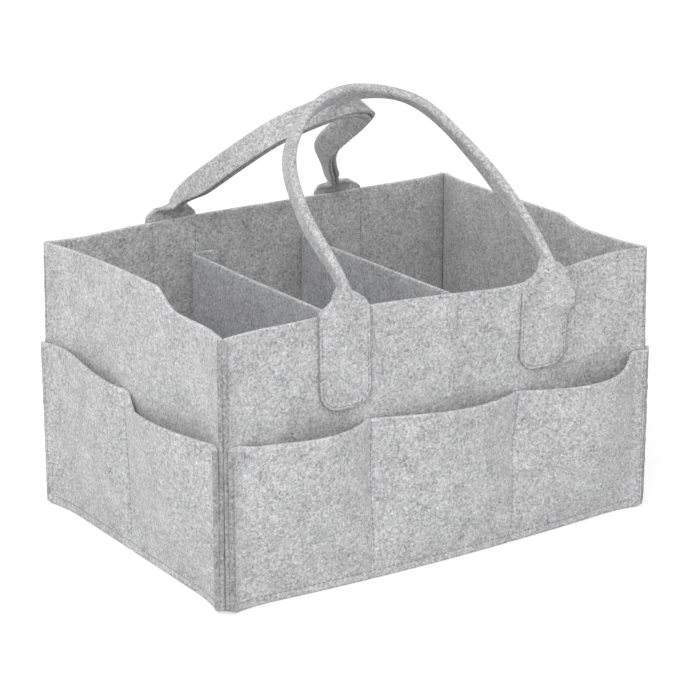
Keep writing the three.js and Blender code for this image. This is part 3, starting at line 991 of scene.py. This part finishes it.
for name, x in DIVIDERS.items():
    for end, facing in (("front", -1.0), ("rear", 1.0)):
        label = f"{name}_divider_{end}"
        place = np.array((x + FLAP / 2, 0.0, TAPE_TOP - TAPE_LENGTH / 2))
        rings = [np.array(ring) + place for ring in tape_backing(HALF_Y - GAP, facing)]
        tape = ring_solid(f"{label}_tape", rings, hook_tape)
        points, faces = hook_posts(HALF_Y - GAP, facing)
        posts = new_object(f"{label}_posts", np.array(points) + place, faces, hook_tape)
        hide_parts(f"{label}_hooks")
        for piece in (tape, posts):
            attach(piece, f"{name}_divider")
        print(label, len(points) // (4 * len(HOOK_PROFILE)), "posts")

# %% [markdown]
# ## Carry handles
# Each handle is cut as one long strip with a wide rounded tab at both ends. The tabs are sewn flat on
# the wall, and just above the rim the strip is folded in half lengthwise, which makes a firm grip. So
# the sheet is drawn the way it is made: a line along the fold, a width that changes along it, and a
# fold angle that grows from flat to closed in the neck. The limp arch follows a curve through a few
# points, nearly the same as in the solid model.

# %% Handle lines
TAB_FOOT = 64.0
TAB_HALF = 20.0
TAB_RADIUS = 14.0
NECK_HALF = 10.0
NECK_RISE = 12.5
FOLD_RADIUS = 1.53
RIDGE = 6.25
TAB_MIDDLE = HALF_Y + FELT + GAP + FELT / 2
PIVOT_OFF = 3.0
PIVOT_REACH = TAB_MIDDLE + PIVOT_OFF
ARCH_START = 0.5
HANDLES = {
    "front": SimpleNamespace(
        facing=-1.0, rim=FRONT_HEIGHT, half=81.0, rise=156.5, lean=41.76,
        tabs=(-78.5, 81.0), sink=5.5, strip=15.0, ear=8.5, left_twist=-18.0, right_twist=30.0,
        shape=((-0.94, 0), (-0.9, 0.12), (-1, 0.45), (-0.9, 0.74), (-0.47, 0.955), (-0.05, 1),
               (0.5, 0.915), (0.86, 0.595), (1.1, 0.18), (1.14, 0))),
    "rear": SimpleNamespace(
        facing=1.0, rim=REAR_HEIGHT, half=72.0, rise=154.5, lean=52.71,
        tabs=(-72.0, 72.0), sink=0.0, strip=17.5, ear=0.0, left_twist=0.0, right_twist=-32.0,
        shape=((-1, 0), (-1, 0.2), (-0.79, 0.58), (-0.52, 0.845), (-0.02, 1), (0.27, 0.91),
               (0.27, 0.53), (0.76, 0.19), (1, 0))),
}


def curve_through(points, steps):
    """A smooth curve through points, with knots spaced by the square root of their distance."""
    points = [np.array(p, float) for p in points]
    points = [2 * points[0] - points[1], *points, 2 * points[-1] - points[-2]]
    line = []
    for p0, p1, p2, p3 in zip(points, points[1:], points[2:], points[3:]):
        t0 = 0.0
        t1 = t0 + math.sqrt(np.linalg.norm(p1 - p0))
        t2 = t1 + math.sqrt(np.linalg.norm(p2 - p1))
        t3 = t2 + math.sqrt(np.linalg.norm(p3 - p2))
        for t in np.linspace(t1, t2, steps, endpoint=False):
            a1 = ((t1 - t) * p0 + (t - t0) * p1) / (t1 - t0)
            a2 = ((t2 - t) * p1 + (t - t1) * p2) / (t2 - t1)
            a3 = ((t3 - t) * p2 + (t - t2) * p3) / (t3 - t2)
            b1 = ((t2 - t) * a1 + (t - t0) * a2) / (t2 - t0)
            b2 = ((t3 - t) * a2 + (t - t1) * a3) / (t3 - t1)
            line.append(((t2 - t) * b1 + (t - t1) * b2) / (t2 - t1))
    line.append(points[-2])
    return np.array(line)


def even_steps(line, step):
    """The same line with points an even step apart."""
    run = np.concatenate([[0.0], np.cumsum(np.linalg.norm(np.diff(line, axis=0), axis=1))])
    places = np.linspace(0.0, run[-1], max(2, round(run[-1] / step) + 1))
    return np.stack([np.interp(places, run, line[:, i]) for i in range(line.shape[1])], 1)


def arch_line(handle):
    scaled = [(x * handle.half, s * handle.rise) for x, s in handle.shape]
    return even_steps(curve_through(scaled, 24), 2.0)


for name, handle in HANDLES.items():
    line = arch_line(handle)
    length = np.linalg.norm(np.diff(line, axis=0), axis=1).sum()
    print(name, "arch", round(length), "mm long, top", round(line[:, 1].max()), "mm up the lean")

# %% [markdown]
# ## The folded strip
# The fold line climbs each tab, bends in over the rim and joins the leaning plane of the arch. It is
# the ridge of the strip and looks outwards, and the two halves close behind it. A cubic blend carries
# the line from the upright tab to the lean, so the neck has the soft bend of thick felt. Some legs
# are turned on themselves a little, as limp straps are, and one shoulder stands off.

# %% Fold line
MERGE = 70.0
TAB_PULL = 60.0
ARCH_PULL = 68.0
SINK_RUN = 45.0
# depths below the rim of the rows on a tab, closer together at its round foot
TAB_DROPS = (64.0, 63.2, 62.0, 60.0, 57.5, 54.5, 51.0, 48.0, 44.0, 40.0, 36.0, 32.0, 28.0, 24.0,
             20.0, 16.0, 12.0, 8.0, 5.0, 2.5)


def profile_point(handle, s, x):
    """Height s up the strip turned into y and z: upright at the tab, in the arch's plane above."""
    lean = math.radians(handle.lean)
    inward = -handle.facing
    side = SIDES["front" if handle.facing < 0 else "rear"]
    wave = wander(side, -handle.facing * x, handle.rim)
    tab = np.array((handle.facing * (TAB_MIDDLE + wave), handle.rim - ARCH_START))
    pivot = np.array((handle.facing * PIVOT_REACH, handle.rim + PIVOT_OFF))
    up = np.array((inward * math.sin(lean), math.cos(lean)))
    out = np.array((-inward * math.cos(lean), math.sin(lean)))
    if s >= MERGE:
        return pivot + up * s + out * RIDGE
    end = pivot + up * MERGE + out * RIDGE
    t = s / MERGE
    start_pull = np.array((0.0, TAB_PULL))
    end_pull = up * ARCH_PULL
    return (
        (2 * t**3 - 3 * t**2 + 1) * tab + (t**3 - 2 * t**2 + t) * start_pull
        + (-2 * t**3 + 3 * t**2) * end + (t**3 - t**2) * end_pull
    )


def neck_share(h):
    """How much of the way from tab to strip is done at a height above the rim."""
    return smooth((h - 1.0) / (NECK_RISE - 1.0))


def sunk(h):
    """How much of the right tab's sink shows at a height: none at the foot, all of it near the rim."""
    return smooth((h + TAB_FOOT) / SINK_RUN)


def spine_points(handle):
    """The fold line from foot to foot: places, heights on the strip above the rim, shares of the arch."""
    side = SIDES["front" if handle.facing < 0 else "rear"]
    arch = arch_line(handle)
    middle = np.array([(x, *profile_point(handle, s, x)) for x, s in arch])
    run = np.concatenate([[0.0], np.cumsum(np.linalg.norm(np.diff(middle, axis=0), axis=1))])
    heights = np.minimum(run, run[-1] - run) - ARCH_START
    middle = np.column_stack([middle, heights, run / run[-1]])
    left, right = handle.tabs

    def tab(x, foot, share):
        points = []
        for drop in TAB_DROPS:
            z = handle.rim - drop
            wave = wall_out(side, -handle.facing * x, z)
            points.append((foot, handle.facing * (TAB_MIDDLE + wave), z, -drop, share))
        return points

    spine = np.array([*tab(left, arch[0, 0], 0.0), *middle, *tab(right, arch[-1, 0], 1.0)[::-1]])
    for row in spine:
        x, h, share = row[0], row[3], row[4]
        row[0] = lerp(left if share < 0.5 else right, x, neck_share(h))
        row[2] -= handle.sink * sunk(h) * smooth((share - 0.75) / 0.25)
    return spine


for name, handle in HANDLES.items():
    print(name, "fold line has", len(spine_points(handle)), "points")

# %% [markdown]
# ## Width, fold and twist
# At every height on the strip four things are known: how wide it was cut, how far it is folded, how far
# it is turned on itself, and whether its shoulder stands off. The folded section is an arc round the
# ridge with a straight stretch after it, as thick felt bends, so the cloth keeps its width.

# %% Strip section
STRIP_RUN = 45.0
FOLD_START = 7.0
FOLD_RUN = 12.0
FOLD_CLOSED = 88.0
EAR_HEIGHT = -9.0
EAR_LENGTH = 10.0


def strip_half(handle, h):
    """Half the strip's cut width at a height on it: round foot, straight tab, bell-shaped neck, strip."""
    if h < -TAB_FOOT + TAB_RADIUS:
        short = TAB_RADIUS - (h + TAB_FOOT)
        return TAB_HALF - TAB_RADIUS + math.sqrt(max(0.0, TAB_RADIUS**2 - short**2))
    if h < NECK_RISE:
        return lerp(TAB_HALF, NECK_HALF, neck_share(h))
    return lerp(NECK_HALF, handle.strip, smooth((h - NECK_RISE) / STRIP_RUN))


def fold_angle(h):
    return math.radians(FOLD_CLOSED) * smooth((h - FOLD_START) / FOLD_RUN)


def twist_angle(handle, share, h):
    """How far the strip is turned on itself, at a share of the way from the left foot to the right."""
    left = handle.left_twist * smooth((0.36 - share) / 0.16)
    right = handle.right_twist * smooth((share - 0.46) / 0.14) * (1.0 - 0.5 * smooth((share - 0.68) / 0.16))
    return math.radians(left + right) * smooth((h - 8.0) / 20.0)


def ear_out(handle, x, across, h):
    """How far the right shoulder of the right tab stands off the wall."""
    if x < 0.0:
        return 0.0
    return handle.ear * hill(h, EAR_HEIGHT, EAR_LENGTH) * smooth(across)


def fold_section(q, angle):
    """Where a place q across the strip lies when it is folded: sideways and towards the open side."""
    if angle < 1e-4:
        return q, 0.0
    far = abs(q)
    arc = FOLD_RADIUS * angle
    if far <= arc:
        n = FOLD_RADIUS * math.sin(far / FOLD_RADIUS)
        m = FOLD_RADIUS * (1.0 - math.cos(far / FOLD_RADIUS))
    else:
        n = FOLD_RADIUS * math.sin(angle) + (far - arc) * math.cos(angle)
        m = FOLD_RADIUS * (1.0 - math.cos(angle)) + (far - arc) * math.sin(angle)
    return math.copysign(n, q), m


open_edge, _ = fold_section(HANDLES["front"].strip, math.radians(FOLD_CLOSED))
print("front strip's halves lie", round(2 * open_edge, 1), "mm apart at the open edge")

# %% [markdown]
# ## Handle sheets
# Each row of the sheet is the folded section set on the fold line and turned to face along it. The tab
# stays with the box while the strip swings; the sheet itself is attached to neither.

# %% Handle sheets
ACROSS = np.array((0.0, 0.05, 0.1, 0.14, 0.18, 0.26, 0.38, 0.5, 0.62, 0.74, 0.86, 1.0))
ACROSS = np.concatenate([-ACROSS[:0:-1], ACROSS])


def handle_grid(handle):
    spine = spine_points(handle)
    tangent = np.gradient(spine[:, :3], axis=0)
    tangent /= np.linalg.norm(tangent, axis=1, keepdims=True)
    lean = math.radians(handle.lean)
    rows = []
    for (x, y, z, h, share), along in zip(spine, tangent):
        along[0] *= smooth((h - 6.0) / 22.0)
        along /= np.linalg.norm(along)
        tilt = lean * smooth((h + 4.0) / 40.0)
        outward = np.array((0.0, handle.facing * math.cos(tilt), math.sin(tilt)))
        outward -= along * outward.dot(along)
        outward /= np.linalg.norm(outward)
        sideways = np.cross(outward, along)
        middle = np.array((x, y, z)) - outward * RIDGE
        twist = twist_angle(handle, share, h)
        turned_out = outward * math.cos(twist) - sideways * math.sin(twist)
        turned_side = sideways * math.cos(twist) + outward * math.sin(twist)
        half = strip_half(handle, h)
        angle = fold_angle(h)
        row = []
        for across in ACROSS:
            n, m = fold_section(across * half, angle)
            m -= ear_out(handle, x, across, h)
            point = middle + turned_side * n + turned_out * (RIDGE - m)
            row.append((*point, FELT / 2))
        rows.append(row)
    return np.array(rows), spine


# Painted shade on the handle's cut edges: dark outlines round the tabs, and a little along the strip's
# sides.
TAB_EDGE_SHADE = -1.3
STRIP_EDGE_SHADE = -0.2

handle_rows = {}
for name, handle in HANDLES.items():
    grid, spine = handle_grid(handle)
    heights = np.pad(spine[:, 3], 1, mode="edge")
    strip_side_shade = np.where(heights < 2.0, TAB_EDGE_SHADE, STRIP_EDGE_SHADE)
    edge_shading = (TAB_EDGE_SHADE, strip_side_shade, TAB_EDGE_SHADE)
    piece = felt_sheet(f"{name}_handle_felt", grid, felt_outside, (0.8, 0.95), edge_shading)
    nodes = [f"{name}_handle", f"{name}_left_tab", f"{name}_right_tab"]
    finish_sheet(piece, nodes, None)
    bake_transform(piece)
    handle_rows[name] = SimpleNamespace(grid=grid, spine=spine)

# %% [markdown]
# ## Stitches
# Sewing shows as rows of short threads that dip into the felt at each end. A stitch is a small bent
# tube, so a row is drawn along a line of points on the cloth and the same arc is repeated at an even
# pitch. Rows are gathered by side and kind of seam, which keeps the list of pieces short.

# %% Stitch builder
PITCH = 3.6
THREAD = 0.55
STITCH_SHARE = 0.66
THREAD_RINGS = 6
SIDES_OF_THREAD = 6


def stitch_row(line, outward):
    """Threads along a line of points on the cloth, as points and faces."""
    run = np.concatenate([[0.0], np.cumsum(np.linalg.norm(np.diff(line, axis=0), axis=1))])
    count = max(1, int(run[-1] // PITCH))
    start = (run[-1] - count * PITCH) / 2 + PITCH * (1 - STITCH_SHARE) / 2
    shares = np.linspace(0.0, 1.0, THREAD_RINGS)
    places = start + np.arange(count)[:, None] * PITCH + shares[None, :] * PITCH * STITCH_SHARE
    at = np.stack([np.interp(places, run, line[:, i]) for i in range(3)], -1)
    out = np.stack([np.interp(places, run, outward[:, i]) for i in range(3)], -1)
    lift = THREAD * (0.75 * np.sin(np.pi * shares) - 0.35)
    path = at + out * lift[None, :, None]
    along = np.gradient(path, axis=1)
    along /= np.linalg.norm(along, axis=-1, keepdims=True)
    across = np.cross(along, out)
    across /= np.linalg.norm(across, axis=-1, keepdims=True)
    above = np.cross(across, along)
    turn = np.linspace(0.0, 2 * np.pi, SIDES_OF_THREAD, endpoint=False)
    ring = across[..., None, :] * np.cos(turn)[:, None] + above[..., None, :] * np.sin(turn)[:, None]
    points = (path[..., None, :] + ring * THREAD / 2).reshape(-1, 3)
    faces = []
    for k in range(count):
        first = k * THREAD_RINGS * SIDES_OF_THREAD
        faces += [f[::-1] for f in stacked_faces(first, THREAD_RINGS, SIDES_OF_THREAD)]
    return points, faces


def thread_piece(name, lines, body):
    points = []
    faces = []
    for line, outward in lines:
        made, joined = stitch_row(np.asarray(line, float), np.asarray(outward, float))
        start = sum(len(p) for p in points)
        points.append(made)
        faces += [tuple(i + start for i in f) for f in joined]
    piece = new_object(name, np.concatenate(points), faces, grey_thread)
    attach(piece, body)
    stitch_faces = (THREAD_RINGS - 1) * SIDES_OF_THREAD + 2
    print(name, len(faces) // stitch_faces, "stitches")


# %% [markdown]
# ## Seams of the box
# Three kinds of row hold the box together: one down every corner fin, one along the bottom through
# walls and floor panel, and one up each line between pockets. They are read straight off the grids of
# the sheets, so a stitch always lies on its cloth.

# %% Box seams
FIN_COLUMN = 1
TACK_PLACES = (4.0, 12.0)
TACK_SPAN = (157.0, 180.0)
BOTTOM_ROW = int(np.argmin(abs(POCKET_ROWS - BOTTOM_STITCH / FRONT_POCKET)))


def column_line(grid, column, low, high, back=False):
    front, rear, direction = sheet_faces(grid)
    heights = grid[:, column, 2]
    kept = (heights > low) & (heights < high)
    if back:
        return rear[kept, column], -direction[kept, column]
    return front[kept, column], direction[kept, column]


for name, side in SIDES.items():
    strip = pockets[name].grid
    wall = walls[name].grid
    fins = []
    for column in (FIN_COLUMN, -1 - FIN_COLUMN):
        mouth = strip[-1, column, 2]
        fins.append(column_line(strip, column, 4.0, mouth - 1.0))
        fins.append(column_line(wall, column, mouth + 2.0, wall[-1, column, 2] - 2.0))
    thread_piece(f"{name}_corner_thread", fins, "box")

    front, _, direction = sheet_faces(strip)
    bottom = (front[BOTTOM_ROW, FIN_END:-FIN_END], direction[BOTTOM_ROW, FIN_END:-FIN_END])
    thread_piece(f"{name}_bottom_thread", [bottom], "box")

    rows = []
    for seam in side.seams:
        column = FIN_END + int(np.argmin([abs(a - seam) for a in pockets[name].stations]))
        rows.append(column_line(strip, column, 9.0, 119.0))
        column = FIN_END + int(np.argmin([abs(a - seam) for a in walls[name].stations]))
        top = pocket_top(side, seam)
        rows.append(column_line(wall, column, 14.0, top, back=True))
    thread_piece(f"{name}_pocket_thread", rows, "box")

front_wall = walls["front"]
tack_rows = []
for place in TACK_PLACES:
    column = FIN_END + int(np.argmin([abs(a - place) for a in front_wall.stations]))
    tack_rows.append(column_line(front_wall.grid, column, *TACK_SPAN))
    tack_rows.append(column_line(front_wall.grid, column, *TACK_SPAN, back=True))
thread_piece("front_tack_thread", tack_rows, "box")

# %% [markdown]
# ## Seams of the handles
# A row runs round each tab a few millimetres inside its edge, and through the wall to the inside. A
# second pair of rows holds the folded strip closed along its open edge.

# %% Handle seams
TAB_MARGIN = 2.3
STITCH_TOP = 5.0
GRIP_START = 34.0


def tab_outline(right_start):
    """A U-shaped path inside the edge of a tab: sideways place and depth below the rim."""
    half = TAB_HALF - TAB_MARGIN
    radius = TAB_RADIUS - TAB_MARGIN
    foot = TAB_FOOT - TAB_MARGIN
    turn = np.linspace(0.0, math.pi / 2, 10)
    curve = [(-half + radius - radius * math.cos(t), foot - radius + radius * math.sin(t)) for t in turn]
    left = [(-half, d) for d in np.linspace(STITCH_TOP, foot - radius, 12)]
    right = [(half, d) for d in np.linspace(foot - radius, right_start, 12)]
    return [*left, *curve, *((-n, d) for n, d in reversed(curve)), *right]


for name, handle in HANDLES.items():
    side = SIDES[name]
    outside = np.array((0.0, handle.facing, 0.0))
    rows = []
    starts = (STITCH_TOP, STITCH_TOP + 1.6 * handle.ear)
    for tab, sink, right_start in zip(handle.tabs, (0.0, handle.sink), starts):
        outer = []
        inner = []
        for n, drop in tab_outline(right_start):
            x = tab + n
            z = handle.rim - drop - sink * sunk(-drop)
            tab_wave = wall_out(side, -handle.facing * tab, handle.rim - drop)
            wall_wave = wall_out(side, -handle.facing * x, z)
            outer.append((x, handle.facing * (TAB_MIDDLE + FELT / 2 + tab_wave), z))
            inner.append((x, handle.facing * (HALF_Y + wall_wave), z))
        rows.append((outer, np.tile(outside, (len(outer), 1))))
        rows.append((inner, np.tile(-outside, (len(inner), 1))))
    thread_piece(f"{name}_tab_thread", rows, "box")

    grid = handle_rows[name].grid
    front, _, direction = sheet_faces(grid)
    folded = handle_rows[name].spine[:, 3] > GRIP_START
    rows = []
    for column in (2, -3):
        rows.append((front[folded, column], direction[folded, column]))
    thread_piece(f"{name}_handle_thread", rows, f"{name}_handle")
